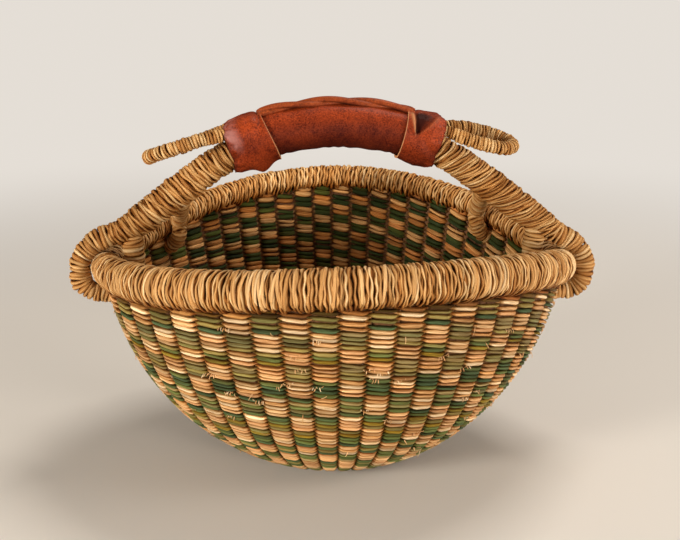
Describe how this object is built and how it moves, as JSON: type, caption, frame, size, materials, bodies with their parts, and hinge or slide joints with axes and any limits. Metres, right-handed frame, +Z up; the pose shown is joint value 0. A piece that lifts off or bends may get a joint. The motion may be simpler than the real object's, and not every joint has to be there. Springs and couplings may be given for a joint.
{
  "type": "woven basket",
  "caption": "Oval woven straw basket with a wrapped rim, an arched wrapped handle rooted through the wall, a leather-covered grip and a finger loop at each end of the grip.",
  "frame": {"origin": "centre of the flat underside of the base", "axes": "+Z up; +X along the handle, to the right of the picture; +Y to the rear, away from the picture's camera"},
  "size_m": [0.356, 0.2788, 0.2478],
  "materials": {
    "straw": "natural straw wraps, satin",
    "stake_straw": "twisted straw, matte",
    "weave": "twined straw in natural and dyed green checks, matte",
    "core_straw": "loose straw bundle, matte",
    "leather": "red-brown dyed goat leather, uneven sheen",
    "lace_leather": "rolled leather thong"
  },
  "bodies": {
    "root": {"woven_bowl": "weave", "rim_core": "core_straw", "rim_binding": "straw", "handle_core": "core_straw", "handle_binding": "straw", "tip_ring_binding_left": "straw", "rear_leg_core_left": "core_straw", "rear_leg_binding_left": "straw", "loop_core_left": "core_straw", "loop_binding_left": "straw", "cuff_left": "leather", "tip_ring_binding_right": "straw", "rear_leg_core_right": "core_straw", "rear_leg_binding_right": "straw", "loop_core_right": "core_straw", "loop_binding_right": "straw", "cuff_right": "leather", "grip_sleeve": "leather", "lace_strand_a": "lace_leather", "lace_strand_b": "lace_leather", "stake_x_01": "stake_straw", "stake_x_02": "stake_straw", "stake_x_03": "stake_straw", "stake_x_04": "stake_straw", "stake_x_05": "stake_straw", "stake_x_06": "stake_straw", "stake_x_07": "stake_straw", "stake_x_08": "stake_straw", "stake_x_09": "stake_straw", "stake_x_10": "stake_straw", "stake_x_11": "stake_straw", "stake_x_12": "stake_straw", "stake_y_01": "stake_straw", "stake_y_02": "stake_straw", "stake_y_03": "stake_straw", "stake_y_04": "stake_straw", "stake_y_05": "stake_straw", "stake_y_06": "stake_straw", "stake_y_07": "stake_straw", "stake_y_08": "stake_straw", "stake_y_09": "stake_straw", "stake_y_10": "stake_straw", "stake_y_11": "stake_straw"}
  },
  "joints": []
}
